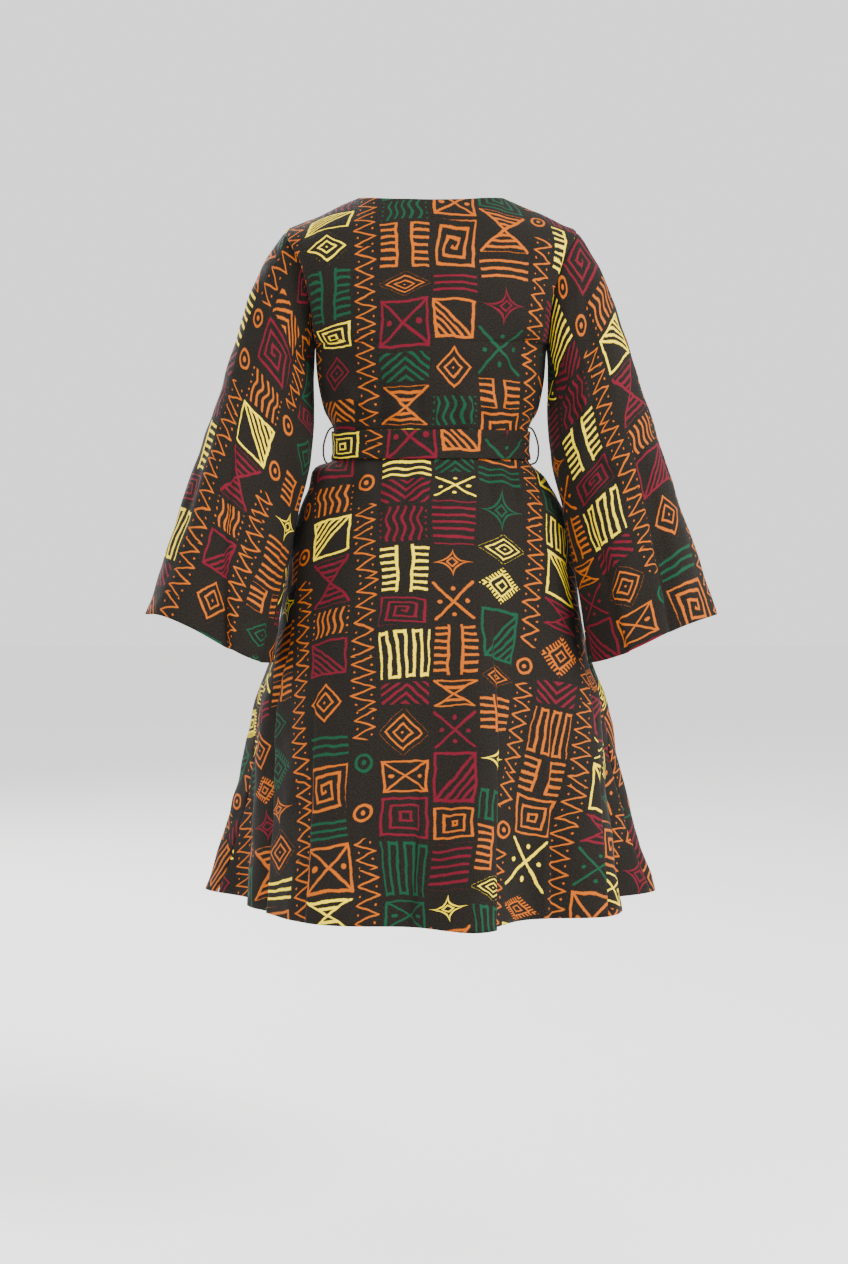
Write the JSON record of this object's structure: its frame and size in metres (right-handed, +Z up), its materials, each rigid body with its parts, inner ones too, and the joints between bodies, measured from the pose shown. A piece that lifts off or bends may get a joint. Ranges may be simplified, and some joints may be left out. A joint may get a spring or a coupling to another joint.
{
  "type": "wrap dress",
  "caption": "Worn wrap dress with long flared sleeves, V neck, flared knee-length skirt and a tied belt, in dark cotton with an all-over geometric print.",
  "frame": {"origin": "midway between the shoulders, at the height of the neck ends of the shoulder seams, where the wearer's shoulders hold the dress", "axes": "+Z up, the front faces -Y and the back +Y, +X towards the wearer's left"},
  "size_m": [0.8082, 0.5895, 1.0109],
  "materials": {
    "dress_cloth": "matt printed cotton",
    "belt_cloth": "matt printed cotton, doubled",
    "thread": "twisted thread"
  },
  "bodies": {
    "root": {"back_bodice": "dress_cloth", "right_front_bodice": "dress_cloth", "left_front_bodice": "dress_cloth", "left_sleeve": "dress_cloth", "right_sleeve": "dress_cloth", "back_skirt": "dress_cloth", "right_front_skirt": "dress_cloth", "left_front_skirt": "dress_cloth", "belt": "belt_cloth", "belt_knot": "belt_cloth", "belt_tail_upper": "belt_cloth", "belt_tail_under": "belt_cloth", "left_belt_loop": "thread", "right_belt_loop": "thread"}
  },
  "joints": []
}
